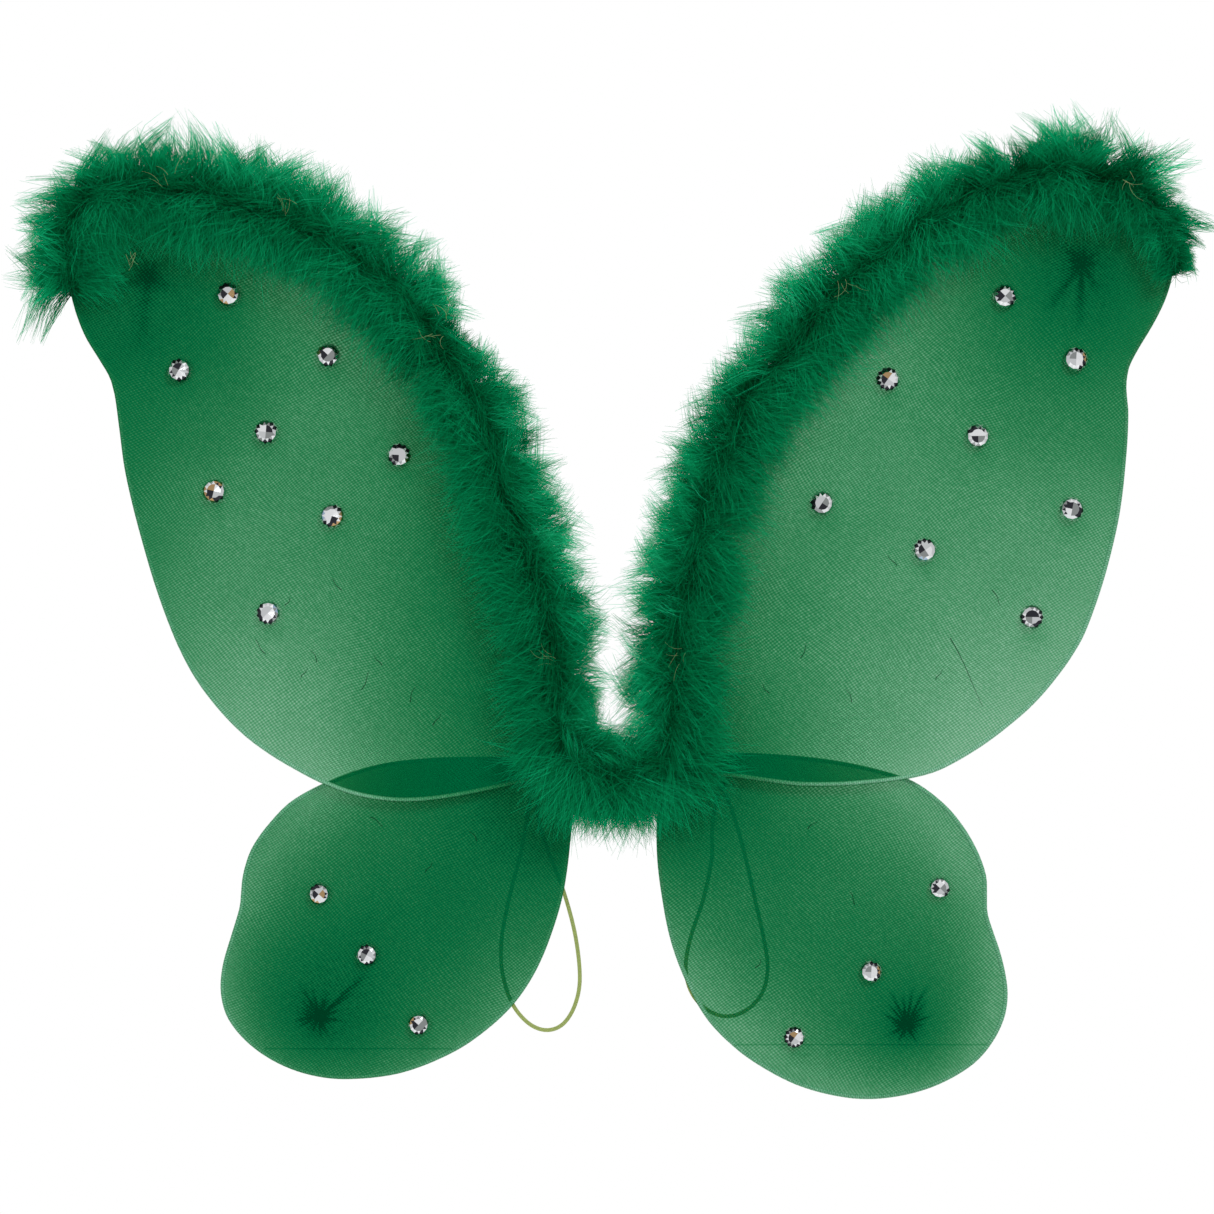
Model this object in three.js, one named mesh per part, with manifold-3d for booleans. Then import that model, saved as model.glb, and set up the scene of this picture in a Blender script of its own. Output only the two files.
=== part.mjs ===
// Fairy wings: four wire loops in nylon sleeves, bound at a felt-backed centre, edged with marabou,
// set with flat-backed stones, and worn by two elastic shoulder loops.
// Millimetres, +Z up. The origin is on the wearer's side of the back patch, -Y is the decorated face,
// and +X is to the right of someone who looks at the decorated face.
import * as THREE from "three";
import Module from "manifold-3d";
import { mergeVertices } from "three/addons/utils/BufferGeometryUtils.js";

const wasm = await Module();
wasm.setup();

// Driving dimensions
const GAP = 0.3; // left between pieces that touch
const WIRE_RADIUS = 1.0; // spring wire with its wound cover
const NYLON_WALL = 0.3; // one layer of stretched nylon, drawn up to a thickness that can be meshed
const SLEEVE_HALF = WIRE_RADIUS + GAP + NYLON_WALL;
const UPPER_Y = -10; // plane of the upper pair of wire loops
const LOWER_Y = -5; // plane of the lower pair, nearer the wearer
const HINGE_X = 17; // where the wire tails bend beside the centre

const TRIM_DEPTH = 7; // half sizes of the marabou's flattened section
const TRIM_WIDTH = 18;
const CENTRE_TRIM_WIDTH = 15;
const TRIM_CORD_RADIUS = 1.2;
const TRIM_Y = UPPER_Y - SLEEVE_HALF - GAP - TRIM_DEPTH;

const UPPER_STONE = { radius: 6, height: 3.4 };
const LOWER_STONE = { radius: 5.4, height: 3 };
const STONE_GIRDLE = 0.9; // height of a stone's upright edge
const STONE_TABLE = 0.55; // share of the radius that the flat top takes
const STONE_FACETS = 8;

const UPPER_ROOT_Z = 8.5; // the height of each pair of wings' roots
const LOWER_ROOT_Z = 4;
const TIE = { x: HINGE_X + 2.7, length: 2.6, halfHeight: 5, halfDepth: 2 };
const TOE_KNOT = { radius: 4, halfDepth: 1.4 };
const LOOP_KNOT_RADIUS = 3.2;
const ELASTIC_RADIUS = 1;
const LOOP_Y = 0.2;

const PATCH = { halfWidth: 14, top: 13, bottom: -15, thickness: 2.5, corner: 5 };
const BINDING = { halfLength: 12, halfHeight: 7.5, halfDepth: 4.3, z: 3 };
const BINDING_Y = -PATCH.thickness - GAP - BINDING.halfDepth;

// Each wing's wire loop, as [x, z] points from its end above the root, out along the trimmed or top
// edge, round the tip and back along the lower edge to its other end. The wings are bent by hand, so
// the two sides differ.
const LEFT_UPPER_WIRE = [
  [-23.5, 12], [-26.5, 17], [-28, 28], [-29, 50], [-33, 76], [-43, 107], [-56, 145], [-69, 185], [-88, 218],
  [-112, 248], [-134, 264], [-162, 280], [-190, 289], [-223, 298], [-254, 295], [-268, 286],
  [-274, 268], [-272, 243], [-265, 223], [-253.5, 204], [-250, 191], [-245.5, 157], [-236, 118],
  [-224, 81], [-210, 52], [-187, 25], [-160.5, 7], [-134, -5], [-108, -9], [-81, -6.5], [-50, 0],
  [-23.5, 5],
];
const RIGHT_UPPER_WIRE = [
  [23.5, 12], [26.5, 17], [28, 28], [28, 48], [31, 84], [38, 110], [46, 145], [55, 168], [64, 188], [77, 205],
  [94, 224], [105, 238], [129, 261], [151, 278], [172, 291], [198, 301], [219, 306], [243, 303],
  [260, 293], [274, 275], [278, 262], [274, 243], [266, 227], [256, 209.5], [254, 198], [255, 185],
  [253.5, 158], [249, 126], [234, 76.5], [219, 52.5], [200, 32.5], [162.5, 7.5], [131, 0.5],
  [91.5, -1], [60, 3], [23.5, 5],
];
const LEFT_LOWER_WIRE = [
  [-23.5, 9], [-34, 10], [-74, 11], [-104.5, 9.5], [-124.5, 6], [-143, -0.5], [-162, -10.5],
  [-172, -20], [-182.5, -34.5], [-187, -49], [-188.5, -64], [-196, -89], [-198, -104],
  [-194.5, -118.5], [-182.5, -132.5], [-166, -142.5], [-149, -147.5], [-133.5, -148.5],
  [-109, -145.5], [-84.5, -136], [-69.5, -126.5], [-53.5, -112], [-42, -95], [-34, -76],
  [-28, -55], [-24.5, -28.5], [-23.5, -14], [-23, -1],
];
const RIGHT_LOWER_WIRE = [
  [23.5, 9], [34, 11.5], [58, 13], [90, 11.5], [113.5, 8.5], [133.5, 4], [148, -1], [161.5, -10.5],
  [170.5, -20], [179.5, -34.5], [184.5, -49], [185, -66.5], [191, -85], [195, -104], [193.5, -118.5],
  [186, -133], [176, -143], [157, -153], [135.5, -158], [116.5, -158], [92, -152], [72.5, -142],
  [60, -133], [46, -118.5], [35, -98.5], [28, -79], [24, -59], [21.5, -39], [21.3, -20], [22.5, -9], [23.2, -1],
];
const WIRE_STEPS_PER_POINT = 2;
const SOFT_STEPS_PER_POINT = 2; // the same for the marabou and the elastic

// The marabou follows the upper wings' wire from beside the root round to the tip.
const TRIM_FIRST = 2;
const LEFT_TRIM_LAST = 17;
const RIGHT_TRIM_LAST = 20;
const CENTRE_TRIM = [[-11, 4.5], [-4, 3.2], [4, 3.2], [11, 4.5]];

// Stones and gathered toes, as [x, z] on each wing
const STONES = {
  left_upper: [
    [-194.5, 244], [-219, 206], [-144.5, 213.5], [-175.5, 175], [-109, 163.5], [-201.5, 145.5],
    [-142.5, 133], [-174.5, 84.5],
  ],
  right_upper: [
    [194, 243], [229.5, 211.5], [135.5, 201.5], [180.5, 173], [102.5, 139.5], [227.5, 136.5],
    [154, 116], [207.5, 82.5],
  ],
  left_lower: [[-149.5, -56.5], [-125.5, -87], [-99.5, -122]],
  right_lower: [[162, -53.5], [127.5, -95.5], [89, -128.5]],
};
const TOES = {
  left_upper: [-234.5, 253],
  right_upper: [233, 260],
  left_lower: [-149.5, -118.5],
  right_lower: [145.5, -122.5],
};

// Shoulder loops: the knot behind the wing, and the elastic's route from the knot round and back to it
const LOOP_KNOTS = { left: [-42, -4], right: [53, -2.5] };
const ELASTIC_ROUTES = {
  left: [
    [-43.7, -8], [-45, -18], [-48.5, -36.5], [-52.5, -52], [-56, -67], [-58.3, -82], [-57.7, -97],
    [-53, -112], [-45, -122], [-36, -125.8], [-27.5, -123], [-21.3, -113.5], [-18.7, -99.5],
    [-21, -78], [-27, -55.5], [-34.5, -36], [-39, -21.5], [-40.3, -8],
  ],
  right: [
    [51.3, -6.5], [49.3, -15], [48, -25], [47.7, -40], [43.5, -60], [37.5, -78], [34.7, -93],
    [37, -105.5], [44, -114.5], [54, -118.8], [64.5, -116.3], [73, -107.5], [76, -95],
    [74, -79.5], [69.5, -59.5], [64.5, -37.5], [59, -18], [54.7, -6.5],
  ],
};

const material = (color, roughness, metalness = 0) =>
  new THREE.MeshStandardMaterial({ color, roughness, metalness });
const NYLON = material(0x2e7a52, 0.6);
const WIRE = material(0xb9d2c2, 0.4, 0.3);
const MARABOU = material(0x06502c, 0.95);
const THREAD = material(0x043d20, 0.8);
const STONE = material(0xd8dadc, 0.08, 0.4);
const FELT = material(0x0a4a2b, 0.95);
const TAPE = material(0x0b3d24, 0.7);
const ELASTIC = material(0x8ba678, 0.75);

const group = new THREE.Group();

function addPiece(name, geometry, look) {
  const mesh = new THREE.Mesh(geometry, look);
  mesh.name = name;
  group.add(mesh);
  return mesh;
}

// A route whose steps fall exactly on its points, so that a wire and the sleeve round it share them.
class Route extends THREE.Curve {
  constructor(points) {
    super();
    this.points = points;
  }
  getPoint(t, target = new THREE.Vector3()) {
    const place = t * (this.points.length - 1);
    const before = Math.min(Math.floor(place), this.points.length - 2);
    return target.lerpVectors(this.points[before], this.points[before + 1], place - before);
  }
  getPointAt(u, target) {
    return this.getPoint(u, target);
  }
  getTangentAt(u, target = new THREE.Vector3()) {
    const last = this.points.length - 1;
    const at = Math.round(u * last);
    const ahead = this.points[Math.min(at + 1, last)];
    const behind = this.points[Math.max(at - 1, 0)];
    return target.subVectors(ahead, behind).normalize();
  }
}

// A smooth curve through [x, z] points at depth y, with steps on it for each point.
function smoothRoute(points, y, stepsPerPoint) {
  const curve = new THREE.CatmullRomCurve3(
    points.map(([x, z]) => new THREE.Vector3(x, y, z)),
    false,
    "centripetal",
  );
  return new Route(curve.getPoints(stepsPerPoint * (points.length - 1)));
}

// An ellipse that a sweep carries along a route: depth is across the wing's plane, width lies in it.
function ellipse(depth, width, sides, holeRadius = 0) {
  const section = new THREE.Shape(ring(depth, width, sides));
  if (holeRadius > 0) section.holes.push(new THREE.Path(ring(holeRadius, holeRadius, sides)));
  return section;
}

function ring(depth, width, sides) {
  return Array.from({ length: sides }, (_, i) => {
    const angle = (2 * Math.PI * i) / sides;
    return new THREE.Vector2(depth * Math.cos(angle), width * Math.sin(angle));
  });
}

function sweep(section, route) {
  const steps = route.points.length - 1;
  return new THREE.ExtrudeGeometry(section, { steps, extrudePath: route, bevelEnabled: false });
}

// The route moved outwards in its plane by distance, corners mitred; +1 or -1 says which side is out.
function offsetOutline(points, distance, side) {
  const last = points.length - 1;
  const normal = (a, b) => {
    const across = new THREE.Vector2(b.z - a.z, a.x - b.x);
    return across.normalize().multiplyScalar(side);
  };
  return points.map((p, i) => {
    const before = normal(points[Math.max(i - 1, 0)], points[Math.max(i, 1)]);
    const after = normal(points[Math.min(i, last - 1)], points[Math.min(i + 1, last)]);
    const mitre = before.clone().add(after).normalize();
    const reach = distance / mitre.dot(before);
    return new THREE.Vector2(p.x + mitre.x * reach, p.z + mitre.y * reach);
  });
}

// A flat plate from an [x, z] outline, halfThickness either side of the plane y.
function plate(outline, y, halfThickness) {
  const geometry = new THREE.ExtrudeGeometry(new THREE.Shape(outline), {
    depth: 2 * halfThickness,
    bevelEnabled: false,
  });
  geometry.rotateX(Math.PI / 2);
  geometry.translate(0, y + halfThickness, 0);
  return geometry;
}

function toSolid(geometry) {
  const bare = geometry.clone().deleteAttribute("normal").deleteAttribute("uv");
  const merged = mergeVertices(bare, 1e-4);
  return new wasm.Manifold(
    new wasm.Mesh({
      numProp: 3,
      vertProperties: merged.attributes.position.array,
      triVerts: new Uint32Array(merged.index.array),
    }),
  );
}

function toGeometry(solid) {
  const mesh = solid.getMesh();
  const geometry = new THREE.BufferGeometry();
  geometry.setAttribute("position", new THREE.BufferAttribute(mesh.vertProperties, 3));
  geometry.setIndex(new THREE.BufferAttribute(mesh.triVerts, 1));
  return geometry;
}

// The nylon sleeve: a flat bag round the wire, open where the wire's two ends come out at the root.
function sleeve(route, y, side) {
  const points = route.points;
  const last = points.length - 1;
  const outer = offsetOutline(points, SLEEVE_HALF, side);
  const inner = offsetOutline(points, SLEEVE_HALF - NYLON_WALL, side);
  const mouth = 3; // how far the hollow runs on past the root to open it
  const onPast = (corner, from, to) => {
    const along = new THREE.Vector2(to.x - from.x, to.z - from.z).setLength(mouth);
    return corner.clone().add(along);
  };
  inner.unshift(onPast(inner[0], points[1], points[0]));
  inner.push(onPast(inner[last + 1], points[last - 1], points[last]));
  const bag = toSolid(plate(outer, y, SLEEVE_HALF));
  const hollow = toSolid(plate(inner, y, SLEEVE_HALF - NYLON_WALL));
  return toGeometry(bag.subtract(hollow));
}

// A flat-backed faceted stone with its back at y and its table towards -Y.
function addStone(name, [x, z], y, { radius, height }) {
  const profile = [
    [0, 0],
    [radius, 0],
    [radius, STONE_GIRDLE],
    [STONE_TABLE * radius, height],
    [0, height],
  ].map(([r, h]) => new THREE.Vector2(r, h));
  const stone = addPiece(name, new THREE.LatheGeometry(profile, STONE_FACETS), STONE);
  stone.rotation.x = Math.PI;
  stone.position.set(x, y, z);
}

// The star of thread and bunched nylon where the sleeve's closed end is drawn together at the back.
function addToeKnot(name, [x, z], y) {
  const knot = addPiece(name, new THREE.SphereGeometry(TOE_KNOT.radius, 10, 6), THREAD);
  knot.scale.y = TOE_KNOT.halfDepth / TOE_KNOT.radius;
  knot.position.set(x, y + SLEEVE_HALF + GAP + TOE_KNOT.halfDepth, z);
}

// The thread wound round the sleeve's open end and the wire's two ends.
function addRootTie(name, x, y, z) {
  const tie = addPiece(name, new THREE.CylinderGeometry(1, 1, TIE.length, 12), THREAD);
  tie.rotation.z = Math.PI / 2;
  tie.scale.set(TIE.halfDepth, 1, TIE.halfHeight);
  tie.rotation.order = "YZX";
  tie.position.set(x, y, z);
}

function addWing(name, wire, y, rootZ, stone) {
  const leftSide = wire[0][0] < 0;
  const route = smoothRoute(wire, y, WIRE_STEPS_PER_POINT);
  addPiece(name + "_frame_wire", sweep(ellipse(WIRE_RADIUS, WIRE_RADIUS, 6), route), WIRE);
  addPiece(name + "_nylon_sleeve", sleeve(route, y, leftSide ? 1 : -1), NYLON);
  addRootTie(name + "_root_tie", leftSide ? -TIE.x : TIE.x, y, rootZ);
  addToeKnot(name + "_toe_knot", TOES[name], y);
  STONES[name].forEach((place, i) => {
    addStone(name + "_stone_" + (i + 1), place, y - SLEEVE_HALF - GAP, stone);
  });
}

// A length of marabou: the down as a flattened tube, and the cord that it is spun on.
function addTrim(name, points, width) {
  const route = smoothRoute(points, TRIM_Y, SOFT_STEPS_PER_POINT);
  const cordSection = ellipse(TRIM_CORD_RADIUS, TRIM_CORD_RADIUS, 8);
  const down = ellipse(TRIM_DEPTH, width, 8, TRIM_CORD_RADIUS + GAP);
  addPiece(name + "_marabou", sweep(down, route), MARABOU);
  addPiece(name + "_marabou_cord", sweep(cordSection, route), THREAD);
}

function addShoulderLoop(side) {
  const [x, z] = LOOP_KNOTS[side];
  const knot = addPiece(
    side + "_loop_knot",
    new THREE.SphereGeometry(LOOP_KNOT_RADIUS, 12, 8),
    ELASTIC,
  );
  knot.position.set(x, LOOP_Y, z);
  const route = smoothRoute(ELASTIC_ROUTES[side], LOOP_Y, SOFT_STEPS_PER_POINT);
  const section = ellipse(ELASTIC_RADIUS, ELASTIC_RADIUS, 8);
  addPiece(side + "_loop_elastic", sweep(section, route), ELASTIC);
}

// The felt patch that lies on the wearer's back.
function addBackPatch() {
  const { halfWidth: w, top, bottom, corner: r, thickness } = PATCH;
  const outline = new THREE.Shape();
  outline.moveTo(-w + r, bottom).lineTo(w - r, bottom);
  outline.absarc(w - r, bottom + r, r, -Math.PI / 2, 0);
  outline.lineTo(w, top - r);
  outline.absarc(w - r, top - r, r, 0, Math.PI / 2);
  outline.lineTo(-w + r, top);
  outline.absarc(-w + r, top - r, r, Math.PI / 2, Math.PI);
  outline.lineTo(-w, bottom + r);
  outline.absarc(-w + r, bottom + r, r, Math.PI, 1.5 * Math.PI);
  addPiece("back_patch", plate(outline.getPoints(4), -thickness / 2, thickness / 2), FELT);
}

// The wire tails of all four wings, lying together and wound with cloth tape.
function addCentreBinding() {
  const binding = addPiece(
    "centre_binding",
    new THREE.CylinderGeometry(1, 1, 2 * BINDING.halfLength, 16),
    TAPE,
  );
  binding.rotation.order = "YZX";
  binding.rotation.z = Math.PI / 2;
  binding.scale.set(BINDING.halfDepth, 1, BINDING.halfHeight);
  binding.position.set(0, BINDING_Y, BINDING.z);
}

addWing("left_upper", LEFT_UPPER_WIRE, UPPER_Y, UPPER_ROOT_Z, UPPER_STONE);
addWing("right_upper", RIGHT_UPPER_WIRE, UPPER_Y, UPPER_ROOT_Z, UPPER_STONE);
addWing("left_lower", LEFT_LOWER_WIRE, LOWER_Y, LOWER_ROOT_Z, LOWER_STONE);
addWing("right_lower", RIGHT_LOWER_WIRE, LOWER_Y, LOWER_ROOT_Z, LOWER_STONE);
addTrim("left", LEFT_UPPER_WIRE.slice(TRIM_FIRST, LEFT_TRIM_LAST + 1), TRIM_WIDTH);
addTrim("right", RIGHT_UPPER_WIRE.slice(TRIM_FIRST, RIGHT_TRIM_LAST + 1), TRIM_WIDTH);
addTrim("centre", CENTRE_TRIM, CENTRE_TRIM_WIDTH);
addShoulderLoop("left");
addShoulderLoop("right");
addBackPatch();
addCentreBinding();

export default group;
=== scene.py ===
"""The looks of the fairy wings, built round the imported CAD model. Metres, +Z up, decorated face -Y."""

import math
from collections import Counter
from types import SimpleNamespace

import bpy
import numpy as np
from mathutils.geometry import delaunay_2d_cdt
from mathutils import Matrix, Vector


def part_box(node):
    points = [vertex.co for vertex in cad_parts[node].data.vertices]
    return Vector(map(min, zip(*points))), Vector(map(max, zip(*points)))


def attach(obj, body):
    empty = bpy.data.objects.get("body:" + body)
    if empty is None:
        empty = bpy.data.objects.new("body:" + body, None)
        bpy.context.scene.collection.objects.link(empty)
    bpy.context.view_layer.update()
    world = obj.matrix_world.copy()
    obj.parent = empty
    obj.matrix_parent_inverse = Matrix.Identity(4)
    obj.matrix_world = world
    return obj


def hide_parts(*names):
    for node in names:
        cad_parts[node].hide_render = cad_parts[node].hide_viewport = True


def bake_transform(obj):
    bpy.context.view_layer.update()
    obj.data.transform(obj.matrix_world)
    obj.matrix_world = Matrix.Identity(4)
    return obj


MM = 0.001
SEED = 11

# The CAD model's own sizes
WIRE_RADIUS = 1.0 * MM
SLEEVE_HALF = 1.6 * MM
UPPER_Y = -10 * MM
LOWER_Y = -5 * MM
CENTRE_X = 12 * MM
ELASTIC_DIAMETER = 2.0 * MM
LOOP_Y = 0.2 * MM

# The stones' facets, in the order of their materials: silver foil, then painted reflections in white, grey,
# dark, amber and blue
SILVER, WHITE, GREY, DARK, AMBER, BLUE = range(6)
WINGS = ("left_upper", "right_upper", "left_lower", "right_lower")
UP = np.array([0.0, 0.0, 1.0])
FRONT = np.array([0.0, -1.0, 0.0])

# The elastic's route on each shoulder loop, as (x, z) in millimetres, from the knot round and back
ELASTIC_ROUTES = {
    "left": [
        (-43.7, -8), (-45, -18), (-48.5, -36.5), (-52.5, -52), (-56, -67), (-58.3, -82),
        (-57.7, -97), (-53, -112), (-45, -122), (-36, -125.8), (-27.5, -123), (-21.3, -113.5),
        (-18.7, -99.5), (-21, -78), (-27, -55.5), (-34.5, -36), (-39, -21.5), (-40.3, -8),
    ],
    "right": [
        (51.3, -6.5), (49.3, -15), (48, -25), (47.7, -40), (43.5, -60), (37.5, -78), (34.7, -93),
        (37, -105.5), (44, -114.5), (54, -118.8), (64.5, -116.3), (73, -107.5), (76, -95),
        (74, -79.5), (69.5, -59.5), (64.5, -37.5), (59, -18), (54.7, -6.5),
    ],
}


# ---------------------------------------------------------------- camera, light and floor


def make_camera():
    """A long lens that looks straight at the decorated face."""
    data = bpy.data.cameras.new("camera")
    data.lens = 100
    camera = bpy.data.objects.new("camera", data)
    camera.location = (-0.005, -1.70, 0.0875)
    camera.rotation_euler = (math.radians(90), 0, 0)
    bpy.context.collection.objects.link(camera)
    bpy.context.scene.camera = camera


def area_light(name, place, target, size, watts):
    data = bpy.data.lights.new(name, "AREA")
    data.shape = "DISK"
    data.size = size
    data.energy = watts
    light = bpy.data.objects.new(name, data)
    light.location = place
    towards = Vector(target) - Vector(place)
    light.rotation_euler = towards.to_track_quat("-Z", "Y").to_euler()
    bpy.context.collection.objects.link(light)


def make_studio():
    """White all round, brighter to the eye than in the light it casts, two lamps and a pale floor."""
    bpy.context.scene.view_settings.view_transform = "Standard"
    world = bpy.context.scene.world or bpy.data.worlds.new("studio")
    bpy.context.scene.world = world
    world.use_nodes = True
    tree = world.node_tree
    tree.nodes.clear()
    seen = add_node(tree, "Background", Strength=1.0, Color=(1, 1, 1, 1)).outputs[0]
    cast = add_node(tree, "Background", Strength=0.62, Color=(1, 1, 1, 1)).outputs[0]
    rays = add_node(tree, "LightPath")
    mix = add_node(tree, "MixShader", Fac=rays.outputs["Is Camera Ray"])
    tree.links.new(cast, mix.inputs[1])
    tree.links.new(seen, mix.inputs[2])
    add_node(tree, "OutputWorld", Surface=mix.outputs[0])
    area_light("key", (0.9, -1.5, 1.5), (0, 0, 0.1), 0.7, 28)
    area_light("fill", (-1.2, -1.6, 0.2), (0, 0, 0.1), 0.9, 8)
    bpy.ops.mesh.primitive_plane_add(size=1.3, location=(0, 0, -0.40))
    floor = bpy.context.object
    floor.name = "floor"
    floor.data.materials.append(plain_material("floor_white", (0.9, 0.9, 0.9), 0.9))


# ---------------------------------------------------------------- materials


def set_inputs(tree, node, **inputs):
    """Give a node's inputs their values, or sockets to take them from. Names have _ for a space."""
    for name, value in inputs.items():
        socket = node.inputs[name.replace("_", " ")]
        if isinstance(value, bpy.types.NodeSocket):
            tree.links.new(value, socket)
        else:
            socket.default_value = value


def add_node(tree, kind, **inputs):
    node = tree.nodes.new("ShaderNode" + kind)
    set_inputs(tree, node, **inputs)
    return node


def new_material(name):
    material = bpy.data.materials.new(name)
    material.use_nodes = True
    return material, material.node_tree, material.node_tree.nodes["Principled BSDF"]


def plain_material(name, colour, roughness, metallic=0.0, shine=0.5):
    material, tree, shader = new_material(name)
    set_inputs(tree, shader, Base_Color=(*colour, 1), Roughness=roughness, Metallic=metallic)
    set_inputs(tree, shader, Specular_IOR_Level=shine)
    return material


def maths(tree, operation, a, b=None):
    """A Math node's output. a and b are numbers or sockets."""
    node = tree.nodes.new("ShaderNodeMath")
    node.operation = operation
    for socket, value in zip(node.inputs, (a, b)):
        if isinstance(value, bpy.types.NodeSocket):
            tree.links.new(value, socket)
        elif value is not None:
            socket.default_value = value
    return node.outputs[0]


def weighted(tree, *terms):
    """The sum of some sockets, each times its number."""
    total = 0.0
    for socket, share in terms:
        total = maths(tree, "ADD", maths(tree, "MULTIPLY", socket, share), total)
    return total


def mix_shaders(tree, share, first, second):
    """The material's output as the first shader, with a share, a number or socket, of the second."""
    mix = add_node(tree, "MixShader", Fac=share)
    tree.links.new(first.outputs[0], mix.inputs[1])
    tree.links.new(second.outputs[0], mix.inputs[2])
    tree.links.new(mix.outputs[0], tree.nodes["Material Output"].inputs[0])


def object_place(tree, turn=(0, 0, 0)):
    """Object coordinates, turned by some radians about each axis."""
    place = add_node(tree, "TexCoord")
    return add_node(tree, "Mapping", Vector=place.outputs["Object"], Rotation=turn).outputs[0]


def wave(tree, vector, pitch, distortion=0.0, direction="X"):
    """Bands a pitch apart, from 0 to 1."""
    scale = 2 * math.pi / (20 * pitch)
    node = add_node(tree, "TexWave", Vector=vector, Scale=scale, Distortion=distortion)
    set_inputs(tree, node, Detail=1.5, Detail_Scale=30)
    node.bands_direction = direction
    return node.outputs["Fac"]


def swirled(tree, vector):
    """The vector pushed about gently, so that bands across it drift."""
    node = add_node(tree, "TexNoise", Vector=vector, Scale=14.0)
    push = tree.nodes.new("ShaderNodeVectorMath")
    push.operation = "MULTIPLY_ADD"
    tree.links.new(node.outputs["Color"], push.inputs[0])
    push.inputs[1].default_value = (0.016, 0.016, 0.016)
    tree.links.new(vector, push.inputs[2])
    return push.outputs[0]


def noise(tree, vector, scale, detail=2.0):
    return add_node(tree, "TexNoise", Vector=vector, Scale=scale, Detail=detail).outputs["Fac"]


def bump(tree, shader, height, strength, distance):
    node = add_node(tree, "Bump", Height=height, Strength=strength, Distance=distance)
    set_inputs(tree, shader, Normal=node.outputs[0])


def ramp(tree, fac, *stops):
    """A ramp between two colours; each stop is (position, (r, g, b))."""
    node = add_node(tree, "ValToRGB", Fac=fac)
    for element, (position, colour) in zip(node.color_ramp.elements, stops):
        element.position = position
        element.color = (*colour, 1)
    return node.outputs[0]


# How fast each colour of light dies away in nylon of density 1
NYLON_CLEAR = (1.47, 0.92, 1.27)
NYLON_YARN = (0.0, 0.115, 0.040)
KNIT_PITCH = 1.45 * MM
# The fold across each lower wing, as (middle x, half its length, z)
CREASES = [(-0.129, 0.048, -0.1345), (0.123, 0.064, -0.1325)]
CREASE_HALF = 0.35 * MM


def creases(tree):
    """A thin line of denser nylon along each fold."""
    place = add_node(tree, "SeparateXYZ", Vector=object_place(tree))
    lines = []
    for x, reach, z in CREASES:
        across = maths(tree, "COMPARE", place.outputs["X"], x)
        across.node.inputs[2].default_value = reach
        near = maths(tree, "COMPARE", place.outputs["Z"], z)
        near.node.inputs[2].default_value = CREASE_HALF
        lines.append((maths(tree, "MULTIPLY", across, near), 0.30))
    return weighted(tree, *lines)


def knit(tree):
    """How the knit's two diagonals, its grain and its creases vary the density, round about 1."""
    rising = swirled(tree, object_place(tree, (0, math.radians(40), 0)))
    falling = swirled(tree, object_place(tree, (0, math.radians(-62), 0)))
    uneven = weighted(
        tree,
        (wave(tree, rising, KNIT_PITCH, 1.5), 0.38),
        (wave(tree, falling, 0.8 * KNIT_PITCH, 2.5), 0.42),
        (noise(tree, object_place(tree), 22.0), 0.24),
        (noise(tree, object_place(tree), 650.0, 1.0), 0.60),
        (creases(tree), 1.0),
    )
    return maths(tree, "ADD", uneven, 0.20)


def nylon_material():
    """Sheer knit: the mesh carries its density, the knit varies it, and both tint what is behind. The yarn
    also darkens where the nylon is gathered thick, a painted shade among the folds.
    """
    material, tree, shader = new_material("sheer_nylon")
    density = tree.nodes.new("ShaderNodeAttribute")
    density.attribute_name = "knit_density"
    thick = maths(tree, "MULTIPLY", density.outputs["Fac"], knit(tree))
    red, green, blue = (
        maths(tree, "EXPONENT", maths(tree, "MULTIPLY", thick, -rate)) for rate in NYLON_CLEAR
    )
    tint = add_node(tree, "CombineColor", Green=1.0)
    set_inputs(tree, tint, Red=maths(tree, "DIVIDE", red, green), Blue=maths(tree, "DIVIDE", blue, green))
    hole = add_node(tree, "BsdfTransparent", Color=tint.outputs[0])
    # Painted shade: the yarn's colour falls to a third where the nylon is gathered thickest, at the toes and
    # along their folds, for the shade among the folds
    gathered = maths(tree, "DIVIDE", thick, 4.0)
    painted_shade_yarn = [0.33 * c for c in NYLON_YARN]
    yarn = ramp(tree, gathered, (0.58, NYLON_YARN), (0.88, painted_shade_yarn))
    set_inputs(tree, shader, Base_Color=yarn, Roughness=0.6, Specular_IOR_Level=0.0)
    mix_shaders(tree, maths(tree, "SUBTRACT", 1.0, green), hole, shader)
    return material


def ribs_along(tree, pitch, slant):
    """Ribs a pitch apart along a tube, turned by slant radians."""
    uv = tree.nodes.new("ShaderNodeUVMap")
    uv.uv_map = "length"
    mapping = add_node(tree, "Mapping", Vector=uv.outputs[0], Rotation=(0, 0, slant))
    return wave(tree, mapping.outputs[0], pitch, 0.6)


def wound_material(name, dark, light, pitch, roughness, depth=0.15 * MM, slant=0.0):
    """A tube wound round its length, or braided if the ribs slant."""
    material, tree, shader = new_material(name)
    ribs = ribs_along(tree, pitch, slant)
    if slant:
        ribs = maths(tree, "MAXIMUM", ribs, ribs_along(tree, pitch, -slant))
    colour = ramp(tree, ribs, (0.0, dark), (0.7, light))
    set_inputs(tree, shader, Base_Color=colour, Roughness=roughness)
    bump(tree, shader, ribs, 0.8, depth)
    return material


def let_light_through(material, colour, share):
    """Make part of the light that falls on a thin thing come out on its other side."""
    tree = material.node_tree
    through = add_node(tree, "BsdfTranslucent", Color=(*colour, 1))
    mix_shaders(tree, share, tree.nodes["Principled BSDF"], through)
    return material


def down_material(name, colour):
    """A dull strand of down that light also comes through."""
    return let_light_through(plain_material(name, colour, 0.9, shine=0.0), colour, 0.4)


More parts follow.
